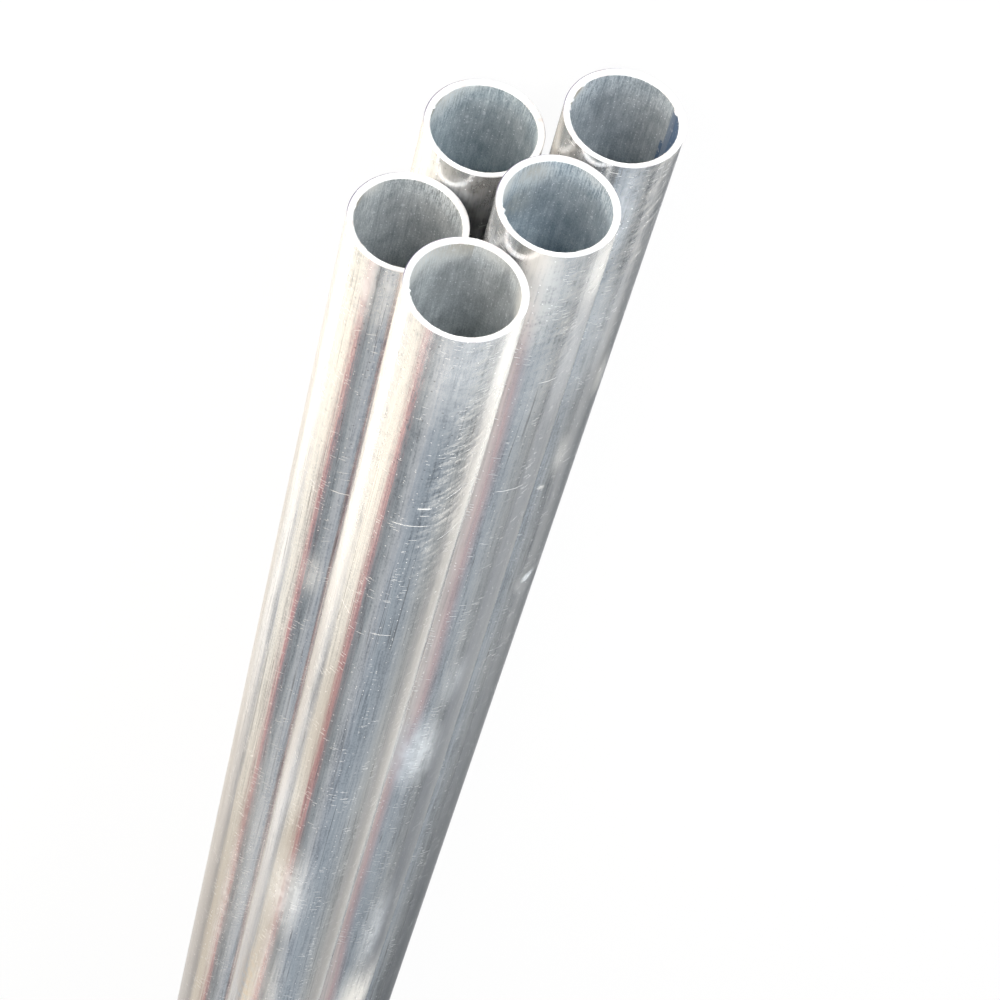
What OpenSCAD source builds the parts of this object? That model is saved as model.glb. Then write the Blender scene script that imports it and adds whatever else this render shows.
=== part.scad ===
// A bundle of five lengths of electrical metallic tubing, trade size 1/2, lying on its two bands.
// The tubes lie along Y with their front ends at -Y. The origin is at the bottom centre of the bundle.

/* [Tube] */
// Outside diameter of a tube
tube_od = 17.93; // [12:0.01:60]
// Thickness of a tube's wall
tube_wall = 1.07; // [0.6:0.01:2.5]
// Length of each tube
tube_length = 3048; // [1500:1:6100]
// Width of the reamed chamfer round each mouth
ream_chamfer = 0.35; // [0.05:0.05:0.4]
// Width of the edge break round the outside of each end
edge_break = 0.12; // [0.02:0.01:0.2]

/* [Weld bead] */
// Width of the weld bead that runs along the inside of a tube
bead_width = 1.6; // [1:0.1:2.2]
// Height of the bead's crest above the bore's wall
bead_height = 0.2; // [0.12:0.01:0.5]
// Where the bead lies in the bottom left tube, from +X towards +Z
seam_bottom_left = 205; // [0:1:360]
// Where the bead lies in the bottom right tube
seam_bottom_right = 78; // [0:1:360]
// Where the bead lies in the middle left tube
seam_middle_left = 122; // [0:1:360]
// Where the bead lies in the middle right tube
seam_middle_right = 47; // [0:1:360]
// Where the bead lies in the top tube
seam_top = 96; // [0:1:360]

/* [Stacking] */
// Clearance left where two tubes rest on each other
contact_gap = 0.1; // [0.02:0.01:0.3]
// Gap between the two bottom tubes
bottom_gap = 1.05; // [0.05:0.05:3]
// Gap between the middle left tube and the bottom right tube
inner_gap = 2.65; // [0.05:0.05:4]
// Gap between the two middle tubes
middle_gap = 1.95; // [0.05:0.05:4]
// How far the bottom left tube stands out of the front of the bundle
out_bottom_left = 13.8; // [0:0.1:40]
// How far the bottom right tube stands out
out_bottom_right = 4.6; // [0:0.1:40]
// How far the middle left tube stands out
out_middle_left = 12; // [0:0.1:40]
// How far the middle right tube stands out
out_middle_right = 0; // [0:0.1:40]
// How far the top tube stands out
out_top = 8.1; // [0:0.1:40]

/* [Bands] */
// Width of a band
band_width = 12; // [6:0.5:19]
// Thickness of a band
band_thickness = 0.6; // [0.4:0.05:1.2]
// Clearance between a band and the tubes
band_gap = 0.05; // [0.02:0.01:0.2]
// Length of the sealed lap, where a band's two ends are welded to each other
band_lap = 15; // [8:0.5:30]
// Distance from the rearmost front end to the middle of the front band, and the same at the rear
band_inset = 600; // [300:5:700]

/* [Hidden] */
outer_radius = tube_od / 2;
bore_radius = outer_radius - tube_wall;
overrun = 1;       // how far a cutting shape runs past the face that it cuts
lap_ramp = 2.5;    // length over which a band's outer end climbs onto its inner end
lap_centre = 0.5;  // place of the lap's middle along the span that it lies on
$fn = 96;

// Tube centres, in [x, z]. Each upper tube is perched on two lower ones.
rest_height = band_thickness + band_gap + outer_radius;
pitch = tube_od + contact_gap;
function perch(from, to, from_reach, to_reach) =
    let (
        line = to - from,
        span = norm(line),
        along = (span * span + from_reach * from_reach - to_reach * to_reach) / (2 * span),
        rise = sqrt(from_reach * from_reach - along * along),
        unit = line / span
    )
    from + along * unit + rise * [-unit[1], unit[0]];
raw_bottom_left = [0, rest_height];
raw_bottom_right = [tube_od + bottom_gap, rest_height];
raw_middle_left = perch(raw_bottom_left, raw_bottom_right, pitch, tube_od + inner_gap);
raw_middle_right = perch(raw_middle_left, raw_bottom_right, tube_od + middle_gap, pitch);
raw_top = perch(raw_middle_left, raw_middle_right, pitch, pitch);

// The ring of tube centres that a band goes round, anticlockwise seen from the front.
raw_ring = [raw_bottom_left, raw_bottom_right, raw_middle_right, raw_top, raw_middle_left];
centring = -(min([for (c = raw_ring) c[0]]) + max([for (c = raw_ring) c[0]])) / 2;
ring = [for (c = raw_ring) c + [centring, 0]];
ring_out = [out_bottom_left, out_bottom_right, out_middle_right, out_top, out_middle_left];
ring_seam = [seam_bottom_left, seam_bottom_right, seam_middle_right, seam_top, seam_middle_left];
BOTTOM_LEFT = 0;
BOTTOM_RIGHT = 1;
MIDDLE_RIGHT = 2;
TOP = 3;
MIDDLE_LEFT = 4;

// Places along Y. The bundle is as long as a tube and the stagger of the ends together.
bundle_length = tube_length + max(ring_out) - min(ring_out);
front_end = max(ring_out) - bundle_length / 2;    // Y of a tube end that doesn't stand out
front_band_y = front_end - min(ring_out) + band_inset;
rear_band_y = -front_band_y;

// Bands. A band's rail is the ring of centres swept outwards: a bend round each tube, then a straight span.
// The chords of a bend dip towards the tube by a quarter of the clearance at most.
bend_radius = outer_radius + band_gap;
arc_step = 2 * acos(1 - band_gap / 4 / bend_radius);
sides = len(ring);
function wrap(i) = (i + sides) % sides;
function side_vector(i) = ring[wrap(i + 1)] - ring[wrap(i)];
function side_normal(i) = let (v = side_vector(i)) atan2(-v[0], v[1]);
function turn(i) = (side_normal(i) - side_normal(i - 1) + 360) % 360;
function bend_length(i) = turn(i) * PI / 180 * bend_radius;
function side_length(i) = bend_length(i) + norm(side_vector(i));
function side_start(i) = i == 0 ? 0 : side_start(i - 1) + side_length(i - 1);

// The rail at a distance s along it: the point on the centre ring, and the outward direction in degrees.
function rail(s, i = 0) =
    s > side_start(i + 1) && i < sides - 1 ? rail(s, i + 1) :
    let (
        into = s - side_start(i),
        bend = bend_length(i),
        on_bend = into < bend,
        direction = on_bend ? side_normal(i) - turn(i) * (1 - into / bend) : side_normal(i),
        place = on_bend ? ring[i] : ring[i] + side_vector(i) * (into - bend) / norm(side_vector(i))
    )
    [place, direction];
function rail_point(s, height) =
    let (r = rail(s)) r[0] + (bend_radius + height) * [cos(r[1]), sin(r[1])];

// The stations along a band where its outline has a point: round each bend, and at each end of a span.
bend_stations = [
    for (i = [0 : sides - 1])
        let (steps = ceil(turn(i) / arc_step))
            for (k = [0 : steps]) side_start(i) + bend_length(i) * k / steps
];
lap_middle = side_start(MIDDLE_RIGHT) + bend_length(MIDDLE_RIGHT)
    + lap_centre * norm(side_vector(MIDDLE_RIGHT));
lap_start = lap_middle - band_lap / 2;
lap_end = lap_middle + band_lap / 2;
inner_outline = [for (s = bend_stations) rail_point(s, 0)];
outer_outline = concat(
    [for (s = bend_stations) if (s < lap_start - lap_ramp) rail_point(s, band_thickness)],
    [rail_point(lap_start - lap_ramp, band_thickness)],
    [rail_point(lap_start, 2 * band_thickness)],
    [for (s = bend_stations) if (s > lap_start && s < lap_end) rail_point(s, 2 * band_thickness)],
    [rail_point(lap_end, 2 * band_thickness)],
    [rail_point(lap_end, band_thickness)],
    [for (s = bend_stations) if (s > lap_end) rail_point(s, band_thickness)]
);

// The bore of a tube: a round hole, less the bead that the weld leaves along its wall.
module bore(seam) {
    half_width = bead_width / 2;
    chord_depth = bore_radius - sqrt(bore_radius * bore_radius - half_width * half_width);
    crest = bead_height - chord_depth;
    bead_radius = (half_width * half_width + crest * crest) / (2 * crest);
    difference() {
        translate([0, 0, -overrun])
            cylinder(r = bore_radius, h = tube_length + 2 * overrun);
        rotate([0, 0, seam])
            translate([bore_radius - bead_height + bead_radius, 0, -2 * overrun])
                cylinder(r = bead_radius, h = tube_length + 4 * overrun);
    }
}

// The cone that reams one mouth at 45 degrees, with its wide end past the end of the tube.
// It runs in as far as the crest of the weld bead, so the bead is cut back on the same slope.
module ream() {
    mouth_radius = bore_radius + ream_chamfer + overrun;
    crest_radius = bore_radius - bead_height;
    translate([0, 0, -overrun])
        cylinder(r1 = mouth_radius, r2 = crest_radius, h = mouth_radius - crest_radius);
}

// One tube standing on its front end, cut square, with its edges broken and its mouths reamed.
module tube_upright(seam) {
    difference() {
        rotate_extrude()
            polygon([
                [0, 0],
                [outer_radius - edge_break, 0],
                [outer_radius, edge_break],
                [outer_radius, tube_length - edge_break],
                [outer_radius - edge_break, tube_length],
                [0, tube_length]
            ]);
        bore(seam);
        ream();
        translate([0, 0, tube_length])
            mirror([0, 0, 1])
                ream();
    }
}

// One tube in its place in the bundle. Turning it down by 90 degrees takes its own +Y to -Z.
module tube(place) {
    color([0.62, 0.65, 0.68])
        translate([ring[place][0], front_end - ring_out[place], ring[place][1]])
            rotate([-90, 0, 0])
                tube_upright(-ring_seam[place]);
}

// One band: a strap drawn round the tubes, its two ends lapped and welded into one piece.
module band(y) {
    color([0.10, 0.10, 0.11])
        translate([0, y + band_width / 2, 0])
            rotate([90, 0, 0])
                linear_extrude(band_width)
                    difference() {
                        polygon(outer_outline);
                        polygon(inner_outline);
                    }
}

tube(BOTTOM_LEFT);  // tube_bottom_left
tube(BOTTOM_RIGHT);  // tube_bottom_right
tube(MIDDLE_LEFT);  // tube_middle_left
tube(MIDDLE_RIGHT);  // tube_middle_right
tube(TOP);  // tube_top
band(front_band_y);  // band_front
band(rear_band_y);  // band_rear
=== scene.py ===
import math
from collections import namedtuple

import bmesh
import bpy
import numpy as np
from mathutils import Matrix, Vector


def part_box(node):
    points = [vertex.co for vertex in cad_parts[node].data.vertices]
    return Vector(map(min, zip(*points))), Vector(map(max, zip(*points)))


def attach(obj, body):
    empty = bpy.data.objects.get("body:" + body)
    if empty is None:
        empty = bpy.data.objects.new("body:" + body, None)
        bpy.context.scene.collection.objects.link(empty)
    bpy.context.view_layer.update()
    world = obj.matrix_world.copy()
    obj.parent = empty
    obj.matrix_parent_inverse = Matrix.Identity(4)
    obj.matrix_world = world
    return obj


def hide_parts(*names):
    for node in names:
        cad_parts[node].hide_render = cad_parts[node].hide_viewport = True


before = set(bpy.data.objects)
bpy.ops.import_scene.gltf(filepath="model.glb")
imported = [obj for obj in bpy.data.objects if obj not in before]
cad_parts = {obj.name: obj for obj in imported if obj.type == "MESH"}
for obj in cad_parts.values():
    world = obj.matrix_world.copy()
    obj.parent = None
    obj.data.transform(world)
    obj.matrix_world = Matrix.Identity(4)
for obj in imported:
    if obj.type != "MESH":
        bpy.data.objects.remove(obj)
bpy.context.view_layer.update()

# A bundle of five galvanised steel tubes, held by two plastic bands. Lengths are in metres, and
# the materials work in millimetres. A tube's own places are s, the distance from its front mouth,
# and phi, the angle round its axis from +X towards +Z, in degrees.

MM = 0.001
WALL = 1.07 * MM
REAM = 0.35 * MM
REAM_REACH = REAM * 1.05
EDGE_BREAK = 0.12 * MM
BEAD_WIDTH = 1.6 * MM
BEAD_HEIGHT = 0.2 * MM
BEAD_STEPS = 14
BEAD_MARGIN = 1.15
ROUND_STEPS = 180
MERGE_DISTANCE = 0.002 * MM
SHARP_ANGLE = math.radians(30)

# ------------------------------------------------------------------------------------------------
# The tubes, as the frame holds them


class Tube:
    """Where one tube lies: its axis, its two ends and its radii, read from the frame."""

    def __init__(self, node, seam, seed):
        low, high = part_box(node)
        self.node = node
        self.seam = math.radians(seam)
        self.seed = seed
        self.axis = Vector(((low.x + high.x) / 2, 0, (low.z + high.z) / 2))
        self.mouth = low.y
        self.tail = high.y
        self.outer = (high.x - low.x) / 2
        self.bore = self.outer - WALL


# Each tube's node, the angle of its weld, and a number that sets its scatter apart.
TUBES = [
    Tube("tube_bottom_left", 205, 1),
    Tube("tube_bottom_right", 78, 2),
    Tube("tube_middle_left", 122, 3),
    Tube("tube_middle_right", 47, 4),
    Tube("tube_top", 96, 5),
]
TOP = TUBES[4]

# ------------------------------------------------------------------------------------------------
# The camera

LENS = 124.39
VIEW_AZIMUTH = math.radians(3.77)
VIEW_ELEVATION = math.radians(33.07)
VIEW_ROLL = math.radians(169.45)
FROM_TOP_MOUTH = Vector((15.41, -385.36, 284.32)) * MM


def make_camera():
    """A long lens above the mouths, looking down along the tubes and held almost upside down."""
    data = bpy.data.cameras.new("camera")
    data.lens = LENS
    data.clip_start = 0.01
    camera = bpy.data.objects.new("camera", data)
    bpy.context.scene.collection.objects.link(camera)
    mouth = TOP.axis + Vector((0, TOP.mouth, 0))
    turned = (
        Matrix.Rotation(VIEW_AZIMUTH, 4, "Z")
        @ Matrix.Rotation(math.pi / 2 - VIEW_ELEVATION, 4, "X")
        @ Matrix.Rotation(-VIEW_ROLL, 4, "Z")
    )
    camera.matrix_world = Matrix.Translation(mouth + FROM_TOP_MOUTH) @ turned
    bpy.context.scene.camera = camera


# ------------------------------------------------------------------------------------------------
# Node trees, written as expressions


class Value:
    """One socket of a node tree. Arithmetic on it adds Math nodes."""

    def __init__(self, maker, socket):
        self.maker = maker
        self.socket = socket

    def __add__(self, other):
        return self.maker.math("ADD", self, other)

    def __sub__(self, other):
        return self.maker.math("SUBTRACT", self, other)

    def __rsub__(self, other):
        return self.maker.math("SUBTRACT", other, self)

    def __mul__(self, other):
        return self.maker.math("MULTIPLY", self, other)

    def __truediv__(self, other):
        return self.maker.math("DIVIDE", self, other)

    __radd__ = __add__
    __rmul__ = __mul__

    def output(self, name):
        """Another output of the same node."""
        return Value(self.maker, self.socket.node.outputs[name])


class Maker:
    """Adds nodes to one tree."""

    def __init__(self, tree):
        tree.nodes.clear()
        self.tree = tree

    def node(self, kind, settings=None, inputs=None, output=0):
        """A node of that kind: its settings first, then the values and links of its sockets."""
        made = self.tree.nodes.new(kind)
        for name, value in (settings or {}).items():
            if name == "stops":
                self.fill_ramp(made.color_ramp, value)
            else:
                setattr(made, name, value)
        for name, value in (inputs or {}).items():
            if isinstance(value, Value):
                self.tree.links.new(value.socket, made.inputs[name])
            else:
                made.inputs[name].default_value = value
        return Value(self, made.outputs[output]) if made.outputs else made

    @staticmethod
    def fill_ramp(ramp, stops):
        """Stops are (place, colour), in order."""
        while len(ramp.elements) < len(stops):
            ramp.elements.new(1)
        for element, (place, colour) in zip(ramp.elements, stops):
            element.position = place
            element.color = (*colour, 1)

    def math(self, operation, first, second=0.0):
        return self.node("ShaderNodeMath", {"operation": operation}, {0: first, 1: second})

    def smooth(self, value, low, high):
        """A soft step from 0 at low to 1 at high. Low may be the larger."""
        settings = {"interpolation_type": "SMOOTHSTEP"}
        return self.node("ShaderNodeMapRange", settings, {0: value, 1: low, 2: high})

    def join(self, x, y):
        return self.node("ShaderNodeCombineXYZ", {}, {0: x, 1: y})

    def split(self, vector):
        parts = self.node("ShaderNodeSeparateXYZ", {}, {0: vector})
        return parts, parts.output("Y"), parts.output("Z")

    def vector(self, operation, first, second):
        settings = {"operation": operation}
        return self.node("ShaderNodeVectorMath", settings, {0: first, 1: second})

    def blend(self, factor, first, second):
        """Two colours mixed."""
        inputs = {0: factor, 6: first, 7: second}
        return self.node("ShaderNodeMix", {"data_type": "RGBA"}, inputs, 2)

    def noise(self, vector, detail=2.0, roughness=0.5, dimensions="2D"):
        """Smooth noise from 0 to 1, one feature to each unit of the vector."""
        inputs = {"Vector": vector, "Scale": 1.0, "Detail": detail, "Roughness": roughness}
        return self.node("ShaderNodeTexNoise", {"noise_dimensions": dimensions}, inputs)

    def cells(self, vector, dimensions="2D"):
        """A jittered grid of cells, one to each unit of the vector."""
        settings = {"voronoi_dimensions": dimensions, "feature": "F1"}
        return self.node("ShaderNodeTexVoronoi", settings, {"Vector": vector, "Scale": 1.0})


def rgb(red, green, blue):
    return (red, green, blue, 1)


# ------------------------------------------------------------------------------------------------
# The studio: a pale floor, long soft strips of light beside the tubes, and lamps at both ends

FLOOR_SIZE = 60
SHOWN_WHITE = 0.96
MIRRORED_WHITE = 0.30
WARM = (1, 0.97, 0.92)
COOL = (0.90, 0.95, 1)
SUNLIT = (1, 0.87, 0.66)

# The light's colour at an angle from +X, in degrees, either way round the Y axis.
STRIPS = [
    (0, (1.10, 1.04, 0.93)),
    (20, (1.06, 1.00, 0.89)),
    (32, (0.92, 0.83, 0.74)),
    (37, (0.74, 0.56, 0.52)),
    (39.5, (0.73, 0.39, 0.38)),
    (44.5, (0.69, 0.37, 0.37)),
    (47.5, (0.36, 0.33, 0.35)),
    (57, (0.30, 0.32, 0.34)),
    (65, (0.35, 0.38, 0.40)),
    (75, (0.52, 0.54, 0.56)),
    (84, (0.52, 0.54, 0.57)),
    (92, (0.42, 0.46, 0.51)),
    (110, (0.38, 0.43, 0.48)),
    (138, (0.41, 0.45, 0.49)),
    (160, (0.46, 0.48, 0.49)),
    (180, (0.48, 0.49, 0.49)),
]


def make_world():
    """Light that depends only on the angle round the tubes' direction, and white behind it all."""
    world = bpy.data.worlds.new("studio")
    world.use_nodes = True
    bpy.context.scene.world = world
    sky = Maker(world.node_tree)
    x, y, z = sky.split(sky.node("ShaderNodeTexCoord", {}, {}, "Generated"))
    turn = sky.math("ARCTAN2", z, x) / math.pi
    stops = [(degrees / 180, colour) for degrees, colour in STRIPS]
    colour = sky.node("ShaderNodeValToRGB", {"stops": stops}, {0: turn})
    strips = sky.node("ShaderNodeBackground", {}, {"Color": colour})
    white = sky.node("ShaderNodeBackground", {}, {"Color": rgb(1, 1, 1)})
    seen = sky.node("ShaderNodeLightPath", {}, {}, "Is Camera Ray")
    shown = sky.node("ShaderNodeMixShader", {}, {0: seen, 1: strips, 2: white})
    sky.node("ShaderNodeOutputWorld", {}, {"Surface": shown})


def floor_paper():
    """Pale paper that looks white and still holds a part of the shadow on it."""
    material = bpy.data.materials.new("floor_paper")
    material.use_nodes = True
    paper = Maker(material.node_tree)
    light = paper.node("ShaderNodeLightPath", {}, {}, "Is Camera Ray")
    mirrored = light.output("Is Glossy Ray") + light.output("Is Transmission Ray")
    factor = light * SHOWN_WHITE + paper.math("MINIMUM", mirrored, 1.0) * MIRRORED_WHITE
    lit = paper.node("ShaderNodeBsdfDiffuse", {}, {"Color": rgb(0.86, 0.86, 0.86)})
    white = paper.node("ShaderNodeEmission", {}, {"Color": rgb(1, 1, 1), "Strength": 1.0})
    shown = paper.node("ShaderNodeMixShader", {}, {0: factor, 1: lit, 2: white})
    paper.node("ShaderNodeOutputMaterial", {}, {"Surface": shown})
    return material


def make_floor():
    mesh = bmesh.new()
    bmesh.ops.create_grid(mesh, x_segments=1, y_segments=1, size=FLOOR_SIZE / 2)
    floor = finished("floor", mesh, [floor_paper()])


def make_lamp(name, place, target, size, power, colour, spread=180):
    """A soft lamp, at a place in metres, that faces the target."""
    data = bpy.data.lights.new(name, "AREA")
    data.shape = "RECTANGLE"
    data.size, data.size_y = size
    data.energy = power
    data.color = colour
    data.spread = math.radians(spread)
    lamp = bpy.data.objects.new(name, data)
    bpy.context.scene.collection.objects.link(lamp)
    lamp.location = place
    lamp.rotation_euler = (place - target).to_track_quat("Z", "Y").to_euler()
    lamp.visible_camera = False
    lamp.visible_glossy = False


def make_end_lamps(end, y, out):
    """One end's lamps: a key, one that faces the bores, one from above and one beside."""
    mouth = Vector((0, y, TOP.axis.z))

    def near(x, forward, z):
        return mouth + Vector((x, out * forward, z))

    key = near(0.38, 0.42, 0.28)
    facing = near(-0.30, 0.68, 0.25)
    above = near(-0.50, -0.10, 0.42)
    behind = near(0, -0.12, 0)
    side = near(0.32, -0.08, 0.32)
    below = near(0.30, -0.08, 0)
    make_lamp("key_" + end, key, mouth, (0.35, 0.35), 2.4, WARM)
    make_lamp("facing_" + end, facing, mouth, (0.25, 0.25), 5.6, COOL)
    make_lamp("above_" + end, above, behind, (0.25, 0.25), 0.35, WARM, 60)
    make_lamp("side_" + end, side, below, (0.25, 0.4), 1.25, SUNLIT, 120)


# ------------------------------------------------------------------------------------------------
# Shared mesh helpers


def finished(name, mesh, materials):
    """The object made of a bmesh, with smooth faces and sharp edges where it turns sharply."""
    data = bpy.data.meshes.new(name)
    mesh.to_mesh(data)
    mesh.free()
    data.shade_smooth()
    data.set_sharp_from_angle(angle=SHARP_ANGLE)
    for material in materials:
        data.materials.append(material)
    piece = bpy.data.objects.new(name, data)
    bpy.context.scene.collection.objects.link(piece)
    return piece


def read_points(data):
    """The places of a mesh's points, one row to a point."""
    flat = np.empty(len(data.vertices) * 3, dtype=np.float32)
    data.vertices.foreach_get("co", flat)
    return flat.reshape(-1, 3).astype(np.float64)


def write_points(data, points):
    data.vertices.foreach_set("co", points.astype(np.float32).ravel())
    data.update()


def step(value, low, high):
    """A soft step from 0 at low to 1 at high. Low may be the larger."""
    share = np.clip((value - low) / (high - low), 0, 1)
    return share * share * (3 - 2 * share)


def roughly(angle, counts, seed):
    """A wavy number from about -1 to 1 round a circle, the same each run."""
    waves = [np.sin(count * angle + seed * 1.7 + k * k * 2.3) for k, count in enumerate(counts)]
    return sum(waves) / len(waves) * 1.4


# ------------------------------------------------------------------------------------------------
# The tubes

# Rings along a tube, in millimetres from an end: (where a stretch ends, how many rings it takes).
OUTER_STRETCHES = [(0.5, 1), (6, 10), (40, 17), (108, 17), (130, 20), (320, 38)]
BORE_STRETCHES = [(0.45, 1), (0.55, 1), (1.2, 2), (6, 8), (40, 17), (320, 10)]
MIDDLE_RINGS = 24
WAVE_DEPTH = 0.05 * MM

# Dents are (phi, s, half width, depth) and rim marks (phi, half width in degrees, how far in the
# burr stands), with lengths in millimetres.
DENTS = {"tube_bottom_left": [(144.7, 119, 4.2, 0.38)], "tube_top": [(38, 260, 6, 0.10)]}
RIM_MARKS = {
    "tube_bottom_left": [
        (-9, 2.2, 0.2),
        (-4, 1.6, -0.12),
        (3, 2.0, 0.16),
        (8, 2, -0.1),
        (-34, 3, 0.14),
    ],
    "tube_bottom_right": [(-13, 2.4, 0.16), (-9, 1.5, -0.1), (-37, 3, 0.12)],
    "tube_middle_left": [(20, 2.4, 0.26), (25, 1.8, -0.12), (30, 2, 0.08)],
    "tube_middle_right": [(-6, 3, 0.12), (-144, 4, -0.1)],
    "tube_top": [(16, 1.8, 0.16), (20, 1.6, -0.14), (24, 1.8, 0.1), (-100, 3, -0.1)],
}


def wall_face(radius, start, stretches, length):
    """The points of one face of the wall, from the front end to the rear end."""
    front = [start]
    for end, rings in stretches:
        first = front[-1]
        front += [first + (end * MM - first) * k / rings for k in range(1, rings + 1)]
    last = front[-1]
    middle = [last + (length - 2 * last) * k / MIDDLE_RINGS for k in range(1, MIDDLE_RINGS)]
    rear = [length - s for s in reversed(front)]
    return [(radius, s) for s in front + middle + rear]


def wall_outline(mesh, angle):
    """The section of the wall in the plane through the axis at that angle: a closed chain."""
    length = TOP.tail - TOP.mouth
    corners = [(TOP.outer - EDGE_BREAK, 0)]
    corners += wall_face(TOP.outer, EDGE_BREAK, OUTER_STRETCHES, length)
    corners += [(TOP.outer - EDGE_BREAK, length), (TOP.bore + REAM, length)]
    corners += reversed(wall_face(TOP.bore, REAM, BORE_STRETCHES, length))
    corners.append((TOP.bore + REAM, 0))
    right = math.cos(angle)
    up = math.sin(angle)
    points = [mesh.verts.new((right * radius, s, up * radius)) for radius, s in corners]
    return points, [mesh.edges.new(pair) for pair in zip(points, points[1:] + points[:1])]


def spin_wall():
    """A tube about the Y axis, with its mouth at Y 0 and its seam at +X.

    The section is turned in finer steps across the weld bead.
    """
    mesh = bmesh.new()
    half = math.asin(BEAD_WIDTH / 2 / TOP.bore) * BEAD_MARGIN
    points, edges = wall_outline(mesh, -half)
    chain = points + edges
    turns = [(2 * half, BEAD_STEPS), (2 * math.pi - 2 * half, ROUND_STEPS)]
    for angle, steps in turns:
        made = bmesh.ops.spin(
            mesh, geom=chain, cent=(0, 0, 0), axis=(0, -1, 0), angle=angle, steps=steps
        )
        chain = made["geom_last"]
    bmesh.ops.remove_doubles(mesh, verts=mesh.verts, dist=MERGE_DISTANCE)
    bmesh.ops.recalc_face_normals(mesh, faces=mesh.faces)
    return mesh


def place_wall(wall, tube):
    """A copy of the wall where the tube lies, turned so that its seam is where it should be."""
    mesh = wall.copy()
    turned = Matrix.Rotation(-tube.seam, 3, "Y")
    bmesh.ops.rotate(mesh, verts=mesh.verts, cent=(0, 0, 0), matrix=turned)
    bmesh.ops.translate(mesh, verts=mesh.verts, vec=tube.axis + Vector((0, tube.mouth, 0)))
    return mesh


def raise_bead(tube, radius, angle, from_end):
    """Draws the bore's wall in along the weld, and leaves the ream's slope at the two mouths."""
    half_width = BEAD_WIDTH / 2
    crest = BEAD_HEIGHT - tube.bore + math.sqrt(tube.bore**2 - half_width**2)
    bead_radius = (half_width**2 + crest**2) / (2 * crest)
    centre = tube.bore - BEAD_HEIGHT + bead_radius
    sideways = centre * np.sin(angle - tube.seam)
    on_bead = (radius < tube.bore + REAM / 2) & (np.abs(sideways) < bead_radius)
    on_bead &= np.cos(angle - tube.seam) > 0
    depth = np.sqrt(np.maximum(bead_radius**2 - sideways**2, 0))
    surface = np.maximum(centre * np.cos(angle - tube.seam) - depth, tube.bore + REAM - from_end)
    return np.where(on_bead, np.minimum(radius, surface), radius)


def wave_wall(tube, angle, s):
    """How far the wall lies in: the faint unevenness that drawing and handling leave in it."""
    turned = angle + tube.seed
    swell = np.sin(2 * turned + s / 90) + np.sin(3 * turned - s / 61) + np.sin(turned + s / 140)
    return WAVE_DEPTH * (0.5 + swell / 6)


def turn_from(phi, angle):
    """How far the angles lie from phi, either way round."""
    return np.angle(np.exp(1j * (angle - math.radians(phi))))


def dent_wall(tube, angle, s):
    """How far the wall lies in at the dents."""
    depth = np.zeros_like(s)
    for phi, place, wide, deep in DENTS.get(tube.node, ()):
        away = turn_from(phi, angle) * tube.outer / MM
        distance = np.hypot(away, (s - place) * 0.8) / wide
        depth += deep * MM * step(distance, 1, 0.1)
    return depth


def rough_rim(tube, radius, angle, s):
    """The ragged inner edge that the reamer leaves: how far its points stand in."""
    on_edge = (radius < tube.bore + REAM_REACH) & (s < REAM_REACH / MM)
    ragged = roughly(angle, (5, 11, 17, 29, 41), tube.seed) * 0.02
    ragged += roughly(angle, (37, 53, 61, 83), tube.seed + 4) * 0.025
    for phi, wide, out in RIM_MARKS.get(tube.node, ()):
        away = np.degrees(np.abs(turn_from(phi, angle)))
        ragged += out * step(away, wide, wide * 0.3)
    return np.where(on_edge, ragged * MM, 0)


def shape_wall(tube, data):
    """Moves the wall's points: weld bead, unevenness, dents and ragged rims."""
    points = read_points(data)
    arm_x = points[:, 0] - tube.axis.x
    arm_z = points[:, 2] - tube.axis.z
    radius = np.hypot(arm_x, arm_z)
    angle = np.arctan2(arm_z, arm_x)
    from_front = points[:, 1] - tube.mouth
    from_end = np.minimum(from_front, tube.tail - points[:, 1])
    s = from_front / MM
    new_radius = raise_bead(tube, radius, angle, from_end)
    outside = radius > tube.outer - WALL / 2
    lie_in = wave_wall(tube, angle, s) + dent_wall(tube, angle, s)
    new_radius -= np.where(outside, lie_in, 0)
    new_radius -= rough_rim(tube, radius, angle, from_end / MM)
    points[:, 0] = tube.axis.x + new_radius * np.cos(angle)
    points[:, 2] = tube.axis.z + new_radius * np.sin(angle)
    write_points(data, points)


def share_finishes(tube, data):
    """Gives each face its finish: 0 outside, 1 in the bore, 2 on the cut ends and their slopes."""
    count = len(data.polygons)
    centres = np.empty(count * 3, dtype=np.float32)
    normals = np.empty(count * 3, dtype=np.float32)
    data.polygons.foreach_get("center", centres)
    data.polygons.foreach_get("normal", normals)
    centres = centres.reshape(-1, 3)
    on_end = np.abs(normals.reshape(-1, 3)[:, 1]) > 0.5
    radius = np.hypot(centres[:, 0] - tube.axis.x, centres[:, 2] - tube.axis.z)
    inside = radius < tube.outer - WALL / 2
    index = np.where(on_end, 2, np.where(inside, 1, 0)).astype(np.int32)
    data.polygons.foreach_set("material_index", index)


def make_tube(tube, wall):
    mesh = place_wall(wall, tube)
    finishes = [outside_zinc(tube), bore_zinc(tube), cut_end(tube)]
    piece = finished(tube.node.replace("tube", "steel_tube"), mesh, finishes)
    shape_wall(tube, piece.data)
    share_finishes(tube, piece.data)
    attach(piece, "root")
    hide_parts(tube.node)


# ------------------------------------------------------------------------------------------------
# The tubes' finishes

METRES_TO_MM = 1 / MM
NO_TINT = rgb(1, 1, 1)


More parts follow.
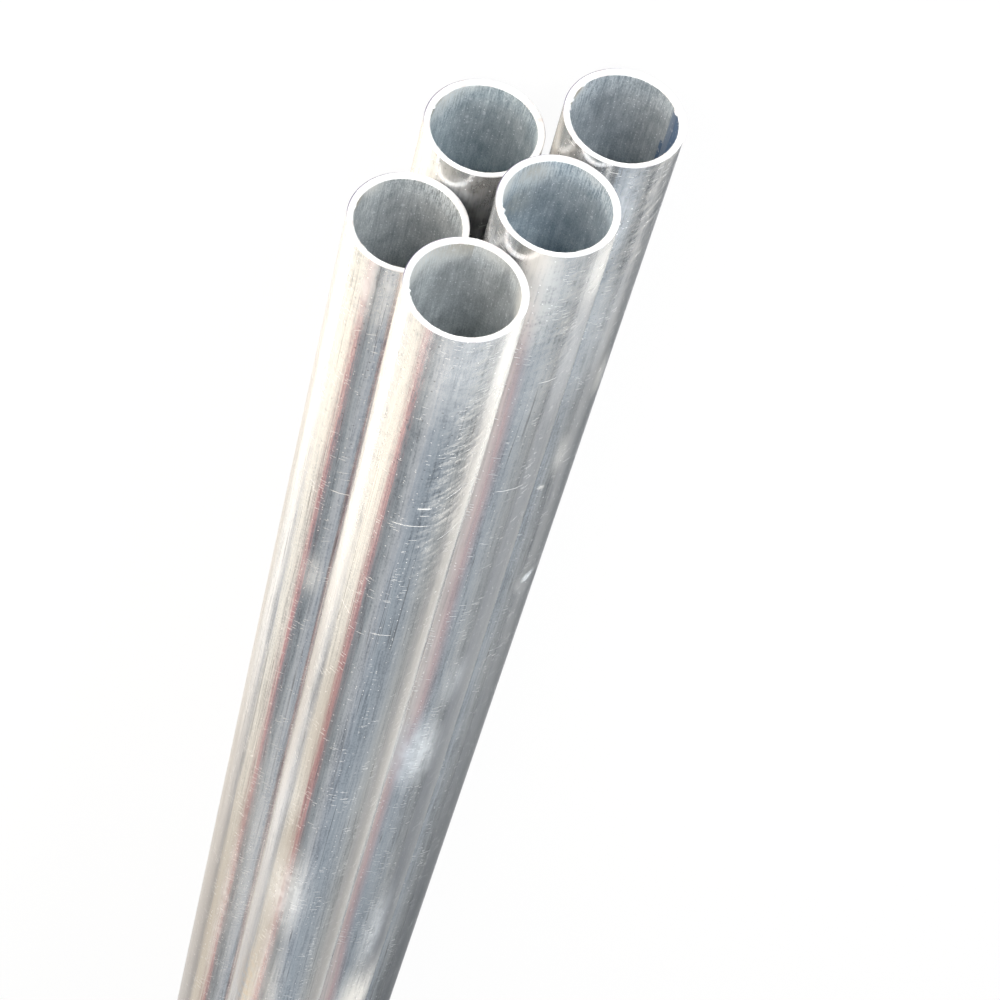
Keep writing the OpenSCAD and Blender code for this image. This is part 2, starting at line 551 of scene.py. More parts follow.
class Skin(Maker):
    """The node tree of a tube's finish, with places on the tube in millimetres."""

    def __init__(self, name, tube):
        self.tube = tube
        self.material = bpy.data.materials.new(name)
        self.material.use_nodes = True
        super().__init__(self.material.node_tree)
        whole = self.node("ShaderNodeTexCoord", {}, {}, "Object")
        mouth = tube.axis + Vector((0, tube.mouth, 0))
        moved = {
            "Vector": whole,
            "Location": -mouth * METRES_TO_MM,
            "Scale": (METRES_TO_MM,) * 3,
        }
        place = self.node("ShaderNodeMapping", {}, moved)
        self.x, self.s, self.z = self.split(place)
        self.turn = self.math("ARCTAN2", self.x, self.z)
        self.radius = tube.outer * METRES_TO_MM
        self.sheet = self.join(self.turn * self.radius, self.s)
        middle = (tube.tail - tube.mouth) * METRES_TO_MM / 2
        self.inward = middle - self.math("ABSOLUTE", self.s - middle)

    def flat(self, across, along, shift=0.0, turn=0):
        """The unrolled surface, turned by some degrees, with so many units to a millimetre."""
        sheet = self.sheet
        if turn:
            slant = (0, 0, math.radians(turn))
            sheet = self.node("ShaderNodeMapping", {}, {"Vector": sheet, "Rotation": slant})
        moved = {
            "Vector": sheet,
            "Location": (self.tube.seed * 5.7 + shift, self.tube.seed * 2.3 - shift, 0),
            "Scale": (across, along, 1),
        }
        return self.node("ShaderNodeMapping", {}, moved)

    def bar(self, right, up, lean, length, width):
        """A straight mark through 0, which leans from the direction round the tube."""
        cosine = self.math("COSINE", lean)
        sine = self.math("SINE", lean)
        along = self.math("ABSOLUTE", right * cosine + up * sine)
        across = self.math("ABSOLUTE", up * cosine - right * sine)
        return self.smooth(across, width / 2, 0.0) * self.smooth(along / length, 0.5, 0.3)

    def ticks(self, across, along, length, width, lean, spread, share, shift=0.0):
        """Short scratches, one in a cell of across by along, leaning within spread of lean."""
        grid = self.flat(1 / across, 1 / along, shift)
        cell = self.cells(grid)
        offset = self.vector("SUBTRACT", grid, cell.output("Position"))
        right, up = self.split(offset)[:2]
        chance, slant, size = self.split(cell.output("Color"))
        angle = slant * math.radians(spread) + math.radians(lean - spread / 2)
        tick = self.bar(right * across, up * along, angle, size * length + 0.2, width)
        return tick * self.math("LESS_THAN", chance, share)

    def specks(self, spacing, size, share, shift=0.0):
        """Round specks of about that size, in a share of the cells."""
        cell = self.cells(self.flat(1 / spacing, 1 / spacing, shift))
        chance = self.split(cell.output("Color"))[0]
        kept = self.math("LESS_THAN", chance, share)
        return self.smooth(cell, size / spacing / 2, size / spacing / 4) * kept

    def beside(self, phi):
        """The distance round the tube, in millimetres, from the line at that angle."""
        centre = math.radians((270 - phi) % 360 - 180)
        return (self.turn - centre) * self.radius

    def spot(self, phi, s, wide, long):
        """A soft patch centred at phi and s, its half width and half length in millimetres."""
        across = self.beside(phi) / wide
        along = (self.s - s) / long
        distance = self.math("SQRT", across * across + along * along)
        return self.smooth(distance, 1.0, 0.1)

    def line(self, away, wide, soft):
        """A stripe where the distance away from it is small."""
        return self.smooth(self.math("ABSOLUTE", away), wide / 2 + soft, wide / 2 - soft)

    def sector(self, low, high, soft):
        """The part of the tube between two angles, with edges that many millimetres soft."""
        first = self.smooth(self.beside(low), soft, -soft)
        second = self.smooth(self.beside(high), -soft, soft)
        return first * second

    def most(self, *masks):
        """The greatest of some masks, or 0 where there are none."""
        top = self.math("ADD", 0.0, 0.0)
        for mask in masks:
            top = self.math("MAXIMUM", top, mask)
        return top

    def patches(self, table):
        """The strongest of the tube's soft patches in a table."""
        rows = table.get(self.tube.node, ())
        return self.most(*[self.spot(*place) * strength for *place, strength in rows])

    def close(self, colour, metallic, roughness, bump, distance, edge=NO_TINT):
        """The finish's shader and output. Edge tints what is seen at a grazing angle."""
        relief = {"Height": bump, "Strength": 1.0, "Distance": distance}
        inputs = {
            "Base Color": colour,
            "Metallic": metallic,
            "Roughness": roughness,
            "Normal": self.node("ShaderNodeBump", {}, relief),
            "Specular Tint": edge,
        }
        surface = self.node("ShaderNodeBsdfPrincipled", {}, inputs)
        self.node("ShaderNodeOutputMaterial", {}, {"Surface": surface})
        return self.material


ZINC_DARK = (0.32, 0.34, 0.36)
ZINC = (0.77, 0.78, 0.79)
ZINC_BRIGHT = (0.98, 0.97, 0.95)
HIGHLIGHT_CREAM = rgb(0.97, 0.93, 0.86)
HAZY_LIGHT_COLOUR = rgb(0.82, 0.86, 0.90)
REFLECTED_RED = rgb(0.88, 0.52, 0.49)
TAN_COLOUR = rgb(0.80, 0.64, 0.46)
DARK_PATCH_COLOUR = rgb(0.48, 0.44, 0.40)
REFLECTED_CREAM = rgb(0.97, 0.84, 0.74)
GRIME = rgb(0.24, 0.23, 0.22)
SCRATCH = rgb(0.99, 0.99, 0.99)

# The patches of each tube, painted highlights, painted hazy light, darker patches and tan patches:
# (phi, s, half width, half length, strength).
PAINTED_HIGHLIGHTS = {
    "tube_top": [
        (2, 10, 6, 26, 0.8),
        (38, 30, 5.5, 80, 0.5),
        (160, 6, 7, 26, 0.8),
        (75, 226, 5, 30, 0.35),
        (172, 24, 5, 60, 0.95),
        (178, 130, 4, 180, 0.6),
    ],
    "tube_middle_left": [
        (88, 10, 6, 26, 0.8),
        (133, 258, 8, 26, 1.0),
        (162, 6, 8, 16, 0.7),
    ],
    "tube_bottom_left": [
        (10, 6, 4.5, 18, 0.8),
        (40, 8, 6, 24, 0.5),
        (118, 86, 1.0, 1.2, 0.8),
        (129.5, 77, 2, 10, 0.4),
        (153.7, 57, 2, 9, 0.4),
    ],
    "tube_middle_right": [(36, 20, 6, 70, 0.5)],
    "tube_bottom_right": [(28, 8, 7, 50, 0.7), (62, 5, 5, 12, 0.6)],
}
PAINTED_HAZY_LIGHT = {
    "tube_top": [
        (68, 180, 6.5, 25, 0.75),
        (64, 215, 2.2, 50, 0.5),
        (66, 3, 2.4, 20, 0.4),
        (112, 4, 13, 26, 0.45),
    ],
    "tube_middle_left": [
        (30, 6, 9, 24, 0.6),
        (106, 149, 7.0, 21, 0.8),
        (128, 124, 3.5, 15, 0.4),
        (118, 5, 10, 20, 0.3),
        (110, 30, 6, 28, 0.25),
        (116, 130, 8, 210, 0.12),
        (128, 225, 4, 34, 0.6),
        (154, 24, 7, 28, 0.3),
    ],
    "tube_middle_right": [
        (76.8, 86, 2.6, 9, 0.5),
        (64, 210, 2.2, 60, 0.6),
        (79, 200, 5, 90, 0.45),
        (66, 5, 2.4, 18, 0.7),
        (84, 6, 3, 14, 0.5),
    ],
    "tube_bottom_left": [
        (60, 8, 7, 24, 0.5),
        (146, 118, 2.4, 3, 0.9),
        (106, 12, 4, 20, 0.6),
        (120, 42, 5, 30, 0.4),
        (118, 150, 8, 220, 0.15),
    ],
    "tube_bottom_right": [(80, 7, 5, 10, 0.9), (96, 14, 8, 34, 0.6)],
}
DARKER_PATCHES = {
    "tube_top": [
        (20, 112, 3.6, 60, 0.75),
        (24, 205, 6, 70, 0.5),
        (55, 118, 4.5, 50, 0.6),
        (56, 178, 4.5, 50, 1.0),
        (56, 205, 5.0, 70, 0.7),
    ],
    "tube_middle_right": [
        (-2, 60, 1.1, 400, 0.8),
        (6, 26, 3.0, 60, 0.35),
        (12, 90, 2.6, 150, 0.7),
        (19, 180, 4.5, 90, 0.95),
        (33, 232, 10, 150, 1.0),
        (60, 205, 4.0, 80, 0.9),
    ],
    "tube_bottom_right": [(-2, 20, 1.1, 200, 0.8), (4, 14, 5, 60, 0.9)],
}
TAN_PATCHES = {
    "tube_top": [(47, 224, 4.6, 26, 0.7)],
    "tube_middle_right": [(40.4, 227, 2.4, 14, 0.5), (12.8, 192, 1.2, 4, 0.6)],
}

# Where handling has rippled the zinc, with painted highlights and painted shade that follow the
# ripples: (from phi, to phi, how far from the mouth, strength).
RIPPLED = {
    "tube_top": (108, 158, 80, 0.6),
    "tube_middle_left": (98, 170, 40, 0.5),
    "tube_bottom_left": (100, 175, 40, 0.35),
    "tube_middle_right": (40, 100, 22, 0.3),
    "tube_bottom_right": (60, 130, 40, 0.2),
}

# The side painted darker, as painted shade: (from phi, to phi, strength, colour).
PAINTED_SHADE_SIDES = {
    "tube_top": (134, 165, 0.95, rgb(0.36, 0.34, 0.30)),
    "tube_middle_left": (129, 215, 0.76, rgb(0.27, 0.30, 0.34)),
    "tube_bottom_left": (128, 215, 0.76, rgb(0.30, 0.32, 0.34)),
}

# How much darker a tube's reflection is made where it is seen at a grazing angle: painted shade.
GRAZING_SHADE = {
    "tube_middle_left": rgb(0.50, 0.51, 0.52),
    "tube_bottom_left": rgb(0.34, 0.35, 0.36),
}

# Single scratches: (phi, s, length, width, how they lean from the way round the tube).
SCRATCHES = {
    "tube_top": [
        (95, 49, 7, 0.34, 3),
        (104, 44, 2.6, 0.8, 2),
        (106, 46, 1.8, 0.3, 0),
        (138.6, 53, 5, 0.3, 24),
        (131.9, 41, 4, 0.3, 30),
        (95.1, 82, 4, 0.25, 0),
        (51.8, 79, 3.5, 0.3, -35),
    ],
    "tube_middle_left": [(122.6, 62, 6, 0.3, -2), (126.7, 32, 4, 0.3, 0)],
    "tube_middle_right": [(89, 60, 5, 0.3, 0)],
}
REFLECTION_LINE_TUBE = "tube_middle_left"
OUTSIDE_RELIEF = 0.03 * MM


class OutsideZinc(Skin):
    """Galvanised steel: drawn streaks, clouded zinc, marks of handling, and painted highlights,
    reflections and shade.
    """

    def __init__(self, tube):
        super().__init__("zinc_outside_" + tube.node, tube)
        self.ends = self.smooth(self.inward, 90, 8)
        self.broad = self.noise(self.flat(0.40, 0.016), 3, 0.55)
        self.fine = self.noise(self.flat(2.4, 0.07, 11), 2, 0.6)
        self.mottle = self.noise(self.flat(0.55, 0.45, 5), 4, 0.65)
        self.ripple = self.noise(self.flat(0.28, 0.9, 7, -34), 3, 0.6)
        self.grain = self.noise(self.flat(3.2, 1.6, 3), 1)
        self.cloud = self.noise(self.flat(0.12, 0.035, 8), 2)
        self.rippled = self.rippled_part()
        mottled = (self.mottle - 0.5) * (self.ends * 0.6 + 0.25)
        # The waves set both the bump and the tone, so the ripples also carry painted highlights and
        # shade.
        self.waves = mottled + (self.ripple - 0.5) * (self.rippled * 1.8 + 0.1)
        self.tone = self.drawn_tone()

    def rippled_part(self):
        """Where handling has rippled the zinc; painted highlights and shade follow the ripples
        there.
        """
        low, high, reach, strength = RIPPLED[self.tube.node]
        near = self.smooth(self.inward, reach, reach * 0.5)
        return self.sector(low, high, 2.5) * near * strength

    def drawn_tone(self):
        """How light the zinc is, from 0 to 1, before anything lies on it; lighter near the ends, as
        painted light.
        """
        streaks = (self.broad - 0.5) * 0.8 + (self.fine - 0.5) * 0.8 + (self.grain - 0.5) * 0.4
        # Painted light: lighter near the ends.
        return streaks + self.waves + (self.cloud - 0.5) * 0.4 + self.ends * 0.12 + 0.5

    def drawn_colour(self):
        stops = [(0.0, ZINC_DARK), (0.5, ZINC), (1.0, ZINC_BRIGHT)]
        return self.node("ShaderNodeValToRGB", {"stops": stops}, {0: self.tone})

    def soiled(self, colour):
        """Hairlines and specks of grime."""
        hair = self.math("ABSOLUTE", self.noise(self.flat(1.5, 0.006, 12), 1) - 0.5)
        grime = self.smooth(hair, 0.012, 0.003) * self.smooth(self.cloud, 0.35, 0.6) * 0.7
        grime = self.most(grime, self.specks(2.4, 0.45, 0.35) * (self.ends * 0.5 + 0.1))
        return self.blend(grime, colour, GRIME)

    def painted_shade_and_patches(self, colour):
        """Painted shade on one side, deeper farther from the mouth, then tan and darker patches."""
        if self.tube.node in PAINTED_SHADE_SIDES:
            low, high, strength, grey = PAINTED_SHADE_SIDES[self.tube.node]
            # Painted shade: the side is darkened, and more so farther from the mouth.
            farther = self.smooth(self.s, 8, 70) * 0.35 + self.smooth(self.s, 100, 200) * 0.15
            depth = self.sector(low, high, 2.4) * ((farther + 0.5) * strength)
            colour = self.blend(depth, colour, grey)
        # Tan patches.
        tan_patch = self.patches(TAN_PATCHES) * self.smooth(self.mottle, 0.35, 0.6)
        colour = self.blend(tan_patch, colour, TAN_COLOUR)
        # Darker grey-brown patches.
        return self.blend(self.patches(DARKER_PATCHES), colour, DARK_PATCH_COLOUR)

    def painted_highlight(self):
        """How much painted highlight lies on the zinc: pale matte patches where highlights fall,
        and on the ripples' crests.
        """
        patches = self.patches(PAINTED_HIGHLIGHTS) * self.smooth(self.tone, -0.3, 0.6)
        high = self.smooth(self.ripple + (self.grain - 0.5) * 0.3, 0.46, 0.70)
        return self.most(patches, high * self.rippled * 0.6)

    def hazy_light(self):
        """How much painted hazy light lies on the zinc: soft pale glints, and light in the shaded
        gaps.
        """
        soft = self.noise(self.flat(0.55, 0.32, 21), 2, 0.55)
        wisps = self.smooth(soft + (self.fine - 0.5) * 0.5, 0.25, 0.75) * 0.35 + 0.65
        return self.patches(PAINTED_HAZY_LIGHT) * wisps

    def reflection_line(self):
        """A painted reflection that wanders along the tube: a pale cream strip and a reddish line
        at its edge.
        """
        drift = self.smooth(self.s, 0, 65) * 6.0 + self.smooth(self.s, 90, 118) * 2.5
        drift = drift - self.smooth(self.s, 128, 168) * 8.5 + self.smooth(self.s, 215, 245) * 6.0
        away = self.beside(90) + drift * math.radians(self.radius)
        begun = self.smooth(self.s, 4, 36)
        pale = self.smooth(away, -1.0, 0.9) * self.smooth(away, 5, 3) * (self.fine * 0.4 + 0.5)
        red = self.line(away, 1.3, 1.2) * begun * (self.fine * 0.5 + 0.4)
        return pale * (begun * 0.5 + 0.4), red

    def scratches(self):
        """White scratches: stacks of short ones round the tube, longer slanted ones, and specks."""
        busy = self.noise(self.flat(0.20, 0.10, 17), 2)
        stacked = self.ticks(2.1, 0.8, 1.6, 0.18, 2, 18, 0.7) * self.smooth(busy, 0.53, 0.60)
        slanted = self.ticks(2.8, 2.0, 3.6, 0.18, 24, 44, 0.24, 31)
        slanted = slanted * self.smooth(busy, 0.60, 0.40)
        if self.tube.node in PAINTED_SHADE_SIDES:
            slanted = slanted * self.sector(112, 240, 3)
        specks = self.specks(1.2, 0.26, 0.20, 23)
        marks = self.most(stacked, slanted * 0.7, specks * 0.8)
        for phi, s, length, width, lean in SCRATCHES.get(self.tube.node, ()):
            turned = math.radians(lean)
            bar = self.bar(self.beside(phi), self.s - s, turned, length, width)
            marks = self.most(marks, bar)
        return marks


def outside_zinc(tube):
    """The outside's layers, one over the other."""
    skin = OutsideZinc(tube)
    colour = skin.painted_shade_and_patches(skin.soiled(skin.drawn_colour()))
    # Painted highlights: pale cream where the highlights fall.
    painted_highlight = skin.painted_highlight()
    colour = skin.blend(painted_highlight, colour, HIGHLIGHT_CREAM)
    # Painted reflection: a cream strip and a red line along one tube.
    if tube.node == REFLECTION_LINE_TUBE:
        pale, red = skin.reflection_line()
        colour = skin.blend(pale, colour, REFLECTED_CREAM)
        colour = skin.blend(red, colour, REFLECTED_RED)
        painted_highlight = skin.most(painted_highlight, pale * 0.8, red * 0.6)
    # Painted light: soft pale glints, and lighter gaps between the tubes.
    hazy_light = skin.hazy_light()
    colour = skin.blend(hazy_light, colour, HAZY_LIGHT_COLOUR)
    marks = skin.scratches()
    colour = skin.blend(marks, colour, SCRATCH)
    matt = skin.most(marks * 0.6, painted_highlight * 0.7, hazy_light * 0.7)
    roughness = (skin.cloud - 0.5) * 0.12 + matt * 0.12 + marks * 0.15 + 0.16
    relief = skin.fine * 0.35 + skin.waves * 1.8 + skin.broad * 2.2
    # Painted shade: the reflection darkens at grazing angles on some tubes.
    edge = GRAZING_SHADE.get(tube.node, NO_TINT)
    return skin.close(colour, 1 - matt, roughness, relief, OUTSIDE_RELIEF, edge)


BORE_TINTS = {
    "tube_top": ((0.38, 0.41, 0.425), (0.82, 0.86, 0.86)),
    "tube_bottom_right": ((0.30, 0.38, 0.43), (0.76, 0.83, 0.85)),
    "tube_middle_left": ((0.28, 0.37, 0.44), (0.75, 0.83, 0.87)),
    "tube_bottom_left": ((0.33, 0.385, 0.42), (0.80, 0.84, 0.85)),
    "tube_middle_right": ((0.345, 0.385, 0.405), (0.82, 0.845, 0.84)),
}

# Painted light on the mouths' lit sides, and olive and frosted stains in the mouths: (phi, s, half
# width, half length, strength).
PAINTED_LIGHT_MOUTHS = {
    "tube_top": [(320, 0, 11, 8, 1.0), (184, 1, 5, 10, 1.0), (250, 0, 9, 4, 0.5)],
    "tube_bottom_right": [(322, 0, 6, 7, 0.9), (292, 0, 4, 3, 0.4)],
    "tube_middle_left": [(340, 0, 6, 8, 1.0), (302, 3, 5, 4, 0.8), (235, 0, 6, 3, 0.3)],
    "tube_bottom_left": [(336, 0, 4, 4, 1.0)],
    "tube_middle_right": [(320, 0, 4, 4, 0.7), (205, 0, 5, 2, 0.2)],
}
OLIVE_MOUTHS = {
    "tube_top": [(282, 0, 8, 4.5, 0.5)],
    "tube_middle_left": [(304, 2, 4, 4, 0.3), (318, 9, 5, 6, 0.35), (350, 8, 3, 6, 0.5)],
    "tube_bottom_left": [(338, 0, 2.6, 2.2, 1.0), (352, 0, 2.0, 3.0, 1.0)],
    "tube_bottom_right": [(336, 0, 2.2, 1.6, 0.8), (352, 0, 2.4, 3.4, 1.0)],
    "tube_middle_right": [(348, 0, 3, 3.0, 1.0)],
}
FROSTED_MOUTHS = {
    "tube_top": [(322, 1, 8, 6, 0.5)],
    "tube_middle_left": [(312, 0, 9, 9, 1.0), (225, 0, 9, 6, 0.7)],
    "tube_bottom_left": [(325, 2, 5, 5, 0.6)],
    "tube_bottom_right": [(322, 1, 6, 8, 0.8), (215, 0, 4, 4, 0.4)],
    "tube_middle_right": [(232, 1, 8, 5, 0.7)],
}
OLIVE = rgb(0.46, 0.39, 0.27)
MOUTH_LIGHT = rgb(1.0, 0.99, 0.94)
FROST = rgb(0.93, 0.98, 1.0)
SHADE = rgb(0.25, 0.26, 0.27)
DUST = rgb(0.95, 0.96, 0.97)
WELD_BLUE = rgb(0.11, 0.18, 0.30)
WELD_GREY = rgb(0.45, 0.48, 0.52)
FLASHED_TUBE = "tube_bottom_left"
BORE_RELIEF = 0.04 * MM


class BoreZinc(Skin):
    """The dull inside of a tube: axial streaks, clouds and specks of zinc."""

    def __init__(self, tube):
        super().__init__("zinc_bore_" + tube.node, tube)
        self.streak = self.noise(self.flat(2.0, 0.04), 2, 0.5)
        self.grain = self.noise(self.flat(4.2, 2.4, 3), 2, 0.6)
        self.cloud = self.noise(self.flat(0.32, 0.22, 4), 4, 0.65)
        self.wisp = self.noise(self.flat(3.2, 0.35, 15), 2, 0.6)
        uneven = (self.streak - 0.5) * 0.5 + (self.grain - 0.5) * 0.9 + (self.cloud - 0.5) * 1.1
        worn = self.smooth(self.inward, 16, 3)
        self.tone = uneven + 0.5 + (self.wisp - 0.5) * worn * 1.1

    def zinc(self):
        dark, light = BORE_TINTS[self.tube.node]
        stops = [(0.1, dark), (0.9, light)]
        return self.node("ShaderNodeValToRGB", {"stops": stops}, {0: self.tone})

    def shaded(self, colour):
        """Painted shade in the bore behind the mouth, kept off its lit side."""
        shade = self.smooth(self.inward, 1.0, 6) * self.smooth(self.inward, 20, 8)
        shade = shade * (1 - self.sector(304, 356, 2.4) * 0.9)
        return self.blend(shade * 0.45, colour, SHADE)

    def mouth_light_and_stains(self, colour):
        """Painted light on the mouth's lit sides, then the frosted and olive stains in the mouth.
        """
        pale = self.patches(PAINTED_LIGHT_MOUTHS) * (self.cloud + 0.5)
        # Painted light near the rim on the lit side.
        colour = self.blend(pale, colour, MOUTH_LIGHT)
        rime = self.smooth(self.wisp + (self.grain - 0.5) * 0.5, 0.40, 0.60)
        colour = self.blend(self.patches(FROSTED_MOUTHS) * rime, colour, FROST)
        dapple = self.smooth(self.grain + self.cloud, 0.65, 1.05)
        return self.blend(self.patches(OLIVE_MOUTHS) * dapple, colour, OLIVE)

    def flashed(self, colour):
        """The dark strip beside the weld, which widens at a ragged step."""
        past_step = self.smooth(self.s + self.streak * 2.0, 9.6, 10.0)
        narrow = self.sector(142, 210, 0.12)
        wide = self.sector(142, 216, 0.12)
        return self.blend(self.most(narrow, wide * past_step) * 0.94, colour, WELD_BLUE)

    def dusted(self, colour):
        """Pale specks and fine lines."""
        specks = self.most(self.specks(0.9, 0.28, 0.5), self.specks(2.6, 0.9, 0.22, 9) * 0.5)
        specks = specks * self.smooth(self.cloud + self.streak, 0.80, 1.05)
        line = self.smooth(self.math("ABSOLUTE", self.streak - 0.56), 0.02, 0.005)
        line = line * self.smooth(self.cloud, 0.4, 0.6)
        return self.blend(self.most(specks, line * 0.3) * 0.8, colour, DUST)

    def welded(self, colour):
        """The greyer crest of the weld bead."""
        weld = self.line(self.beside(math.degrees(self.tube.seam)), 1.5, 0.25)
        return self.blend(weld * 0.35, colour, WELD_GREY)


def bore_zinc(tube):
    """The bore's layers, one over the other."""
    skin = BoreZinc(tube)
    colour = skin.mouth_light_and_stains(skin.shaded(skin.zinc()))
    if tube.node == FLASHED_TUBE:
        colour = skin.flashed(colour)
    colour = skin.welded(skin.dusted(colour))
    return skin.close(colour, 0.25, skin.tone * 0.1 + 0.42, skin.grain + skin.cloud, BORE_RELIEF)


STEEL_DARK = rgb(0.88, 0.88, 0.89)
STEEL_BRIGHT = rgb(0.99, 0.99, 0.98)
HEAT_TINT = rgb(0.76, 0.62, 0.58)
RIM_SHADE_COLOUR = rgb(0.10, 0.09, 0.17)
CUT_RELIEF = 0.02 * MM


def cut_end(tube):
    """The bright sawn steel round a mouth, with a dark violet line painted at its outer edge as
    shade, strongest on one side.
    """
    skin = Skin("cut_end_" + tube.node, tube)
    grain = skin.noise(skin.flat(3, 3), 2)
    cloud = skin.noise(skin.flat(0.4, 0.4, 6), 1)
    colour = skin.blend(grain, STEEL_DARK, STEEL_BRIGHT)
    colour = skin.blend(skin.smooth(cloud, 0.58, 0.70) * 0.4, colour, HEAT_TINT)
    reach = skin.math("SQRT", skin.x * skin.x + skin.z * skin.z)
    # Painted shade: a dark line round the outer edge.
    rim_shade = skin.smooth(reach, skin.radius - 0.30, skin.radius - 0.12)
    rim_shade = rim_shade * (skin.sector(285, 6, 3) * 0.75 + 0.2)
    colour = skin.blend(rim_shade, colour, RIM_SHADE_COLOUR)
    return skin.close(colour, 0.4, 0.45, grain, CUT_RELIEF)


# ------------------------------------------------------------------------------------------------
# The bands

BAND_NODES = ["band_front", "band_rear"]

# The tubes that a band goes round, in the order it meets them, and the span with its lapped ends.
BAND_RING = [TUBES[0], TUBES[1], TUBES[3], TUBES[4], TUBES[2]]
LAP_SPAN = 2
BAND_THICKNESS = 0.6 * MM
BAND_GAP = 0.05 * MM
BAND_LAP = 15 * MM
LAP_RAMP = 2.5 * MM
STRAP_STEP = 0.42 * MM
EMBOSS_PITCH = 2.4 * MM
EMBOSS_DEPTH = 0.10 * MM
EMBOSS_BORDER = 0.9 * MM
EMBOSS_FLANK = 0.45
EDGE_ROUNDING = 0.18 * MM
WELD_LENGTH = 9 * MM
WELD_PITCH = 1.5 * MM


Stretch = namedtuple("Stretch", "start centre span facing turn bend")


class Rail:
    """The line of a band round the tubes: a bend round each tube, then a straight span."""

    def __init__(self):
        self.parts = []
        self.bend = TOP.outer + BAND_GAP
        centres = [Vector((tube.axis.x, tube.axis.z)) for tube in BAND_RING]
        spans = [after - centre for centre, after in zip(centres, centres[1:] + centres[:1])]
        facing = [math.atan2(-span.x, span.y) for span in spans]
        self.length = 0
        for k in range(len(BAND_RING)):
            turn = (facing[k] - facing[k - 1]) % (2 * math.pi)
            bend = turn * self.bend
            self.parts.append(Stretch(self.length, centres[k], spans[k], facing[k], turn, bend))
            self.length += bend + spans[k].length

    def at(self, place, height):
        """The point at that place along the line, and that height over it."""
        place %= self.length
        part = [part for part in self.parts if part.start <= place][-1]
        into = place - part.start
        centre = part.centre
        facing = part.facing
        if into < part.bend:
            facing -= part.turn * (1 - into / part.bend)
        else:
            centre = centre + part.span * ((into - part.bend) / part.span.length)
        arm = Vector((math.cos(facing), math.sin(facing))) * (self.bend + height)
        return centre + arm


def strap_path(rail):
    """Stations along the strap, from its inner end to its outer end: (place, height)."""
    part = rail.parts[LAP_SPAN]
    lap_start = part.start + part.bend + (part.span.length - BAND_LAP) / 2
    whole = rail.length + BAND_LAP
    count = round(whole / STRAP_STEP)
    stations = []
    for k in range(count + 1):
        place = whole * k / count
        climb = (place - rail.length + LAP_RAMP) / LAP_RAMP
        stations.append((lap_start + place, BAND_THICKNESS * min(max(climb, 0), 1)))
    return stations


def emboss(along, across, half_width, weld_place):
    """How deep the strap's outer face is pressed in: diamonds, rounded borders and the weld."""
    border = half_width - abs(across)
    rounding = EDGE_ROUNDING * (1 - min(border / EMBOSS_BORDER * 2, 1)) ** 2
    inside = min(max(border / EMBOSS_BORDER - 0.6, 0), 1)
    if abs(along - weld_place) < WELD_LENGTH / 2:
        ridge = abs(along / WELD_PITCH - round(along / WELD_PITCH)) * 2
        return rounding + EMBOSS_DEPTH * (0.6 + 0.8 * ridge) * inside
    first = (along + across) / EMBOSS_PITCH
    second = (along - across) / EMBOSS_PITCH
    ridge = min(abs(first - round(first)), abs(second - round(second))) * 2
    return rounding + EMBOSS_DEPTH * min(ridge / EMBOSS_FLANK, 1) * inside


def draw_strip(stations, rail, front, width):
    """A strip one face thick along the rail: a row of points, then rows drawn out along Y."""
    columns = round(width / STRAP_STEP)
    mesh = bmesh.new()
    row = []
    for place, height in stations:
        point = rail.at(place, 0)
        row.append(mesh.verts.new((point.x, front, point.y)))
    edges = [mesh.edges.new(pair) for pair in zip(row, row[1:])]
    for k in range(columns):
        made = bmesh.ops.extrude_edge_only(mesh, edges=edges)["geom"]
        moved = [item for item in made if isinstance(item, bmesh.types.BMVert)]
        fresh = set(moved)
        edges = [item for item in made if isinstance(item, bmesh.types.BMEdge)]
        edges = [item for item in edges if fresh.issuperset(item.verts)]
        bmesh.ops.translate(mesh, verts=moved, vec=(0, width / columns, 0))
    return mesh


def press_strip(mesh, stations, rail, middle, width):
    """Lifts the strip to the strap's outer face and embosses it."""
    weld_place = stations[0][0] + rail.length + BAND_LAP / 2
    mesh.verts.index_update()
    for index, vert in enumerate(mesh.verts):
        place, height = stations[index % len(stations)]
        pressed = emboss(place, vert.co.y - middle, width / 2, weld_place)
        point = rail.at(place, BAND_THICKNESS + height - pressed)
        vert.co = (point.x, vert.co.y, point.y)


def face_outward(mesh):
    """Turns the strip's faces over if they look at the tubes."""
    mesh.normal_update()
    mesh.faces.ensure_lookup_table()
    face = mesh.faces[0]
    outward = face.calc_center_median() - Vector((0, 0, TOP.axis.z / 2))
    if face.normal.x * outward.x + face.normal.z * outward.z < 0:
        bmesh.ops.reverse_faces(mesh, faces=mesh.faces)


def make_band(node, rail, plastic):
    """A plastic strap drawn round the tubes, embossed, with its two ends lapped and welded."""
    low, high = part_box(node)
    width = high.y - low.y
    stations = strap_path(rail)
    mesh = draw_strip(stations, rail, low.y, width)
    press_strip(mesh, stations, rail, (high.y + low.y) / 2, width)
    face_outward(mesh)
    piece = finished(node.replace("band", "strap"), mesh, [plastic])
    thick = piece.modifiers.new("thickness", "SOLIDIFY")
    thick.thickness = BAND_THICKNESS
    thick.offset = -1
    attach(piece, "root")
    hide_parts(node)


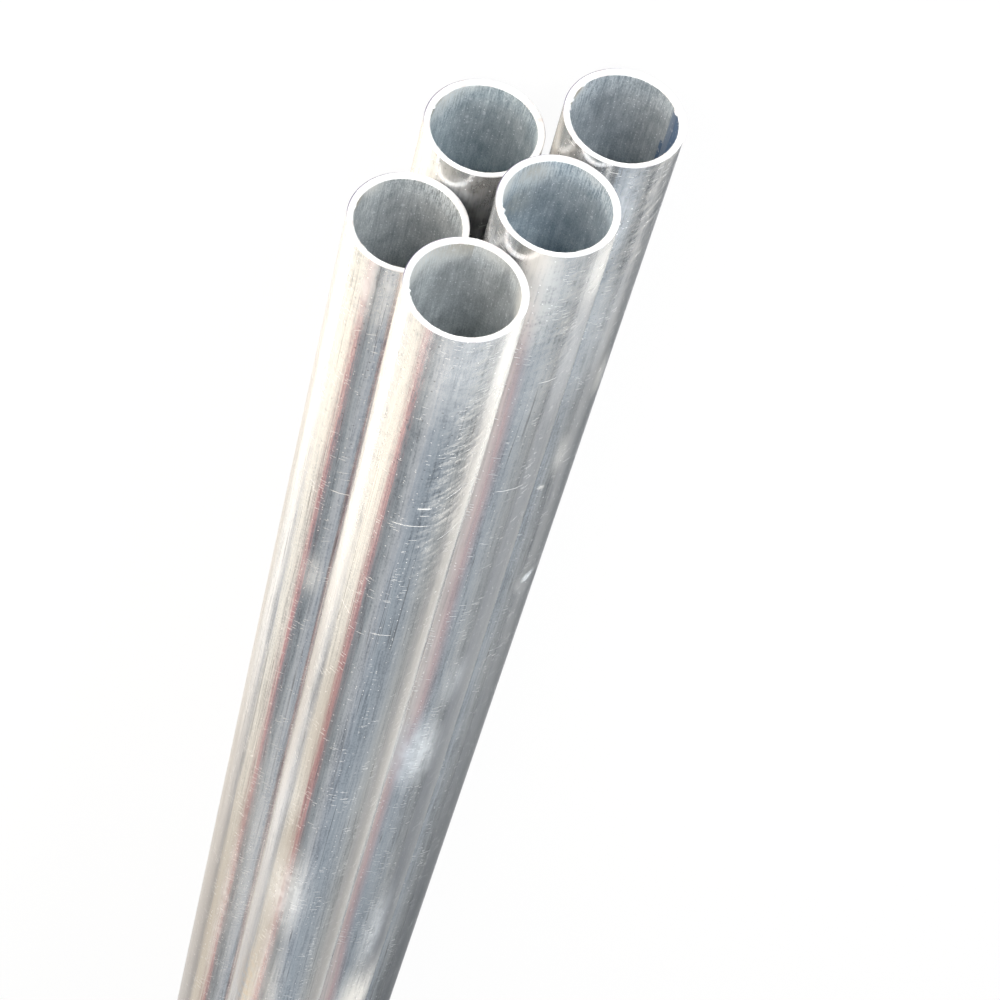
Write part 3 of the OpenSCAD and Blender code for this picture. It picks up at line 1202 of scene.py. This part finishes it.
PLASTIC_DARK = rgb(0.045, 0.045, 0.05)
PLASTIC_LIGHT = rgb(0.10, 0.10, 0.11)
PLASTIC_RUBBED = rgb(0.30, 0.30, 0.31)
PLASTIC_DUST = rgb(0.55, 0.54, 0.52)
PLASTIC_RELIEF = 0.02 * MM


def band_plastic():
    """Black strap plastic: fine flow lines, pale rubs on its high places, and dust."""
    material = bpy.data.materials.new("band_plastic")
    material.use_nodes = True
    plastic = Maker(material.node_tree)
    whole = plastic.node("ShaderNodeTexCoord", {}, {}, "Object")

    def scaled(x, y, z):
        return plastic.node("ShaderNodeMapping", {}, {"Vector": whole, "Scale": (x, y, z)})

    flow = plastic.noise(scaled(120, 2600, 120), 3, 0.5, "3D")
    cloud = plastic.noise(scaled(160, 160, 160), 3, 0.5, "3D")
    reflection_line = plastic.noise(scaled(900, 500, 900), 4, 0.7, "3D")
    scuff = plastic.smooth(reflection_line, 0.56, 0.68) * plastic.smooth(cloud, 0.42, 0.6)
    dust = plastic.smooth(plastic.cells(scaled(1500, 1500, 1500), "3D"), 0.16, 0.06)
    colour = plastic.blend(flow, PLASTIC_DARK, PLASTIC_LIGHT)
    colour = plastic.blend(scuff * 0.45, colour, PLASTIC_RUBBED)
    colour = plastic.blend(dust * 0.4, colour, PLASTIC_DUST)
    rough = flow * 0.15 + scuff * 0.25 + 0.32
    relief = {"Height": flow * 0.6 + reflection_line * 0.4, "Strength": 1.0, "Distance": PLASTIC_RELIEF}
    bump = plastic.node("ShaderNodeBump", {}, relief)
    inputs = {"Base Color": colour, "Roughness": rough, "Normal": bump}
    surface = plastic.node("ShaderNodeBsdfPrincipled", {}, inputs)
    plastic.node("ShaderNodeOutputMaterial", {}, {"Surface": surface})
    return material


# ------------------------------------------------------------------------------------------------
# The whole scene

make_camera()
make_world()
make_floor()
make_end_lamps("front", TOP.mouth, -1)
make_end_lamps("rear", TOP.tail, 1)
tube_wall = spin_wall()
for tube in TUBES:
    make_tube(tube, tube_wall)
tube_wall.free()
band_rail = Rail()
strap_plastic = band_plastic()
for band_node in BAND_NODES:
    make_band(band_node, band_rail, strap_plastic)

bpy.context.scene.view_settings.view_transform = "Standard"
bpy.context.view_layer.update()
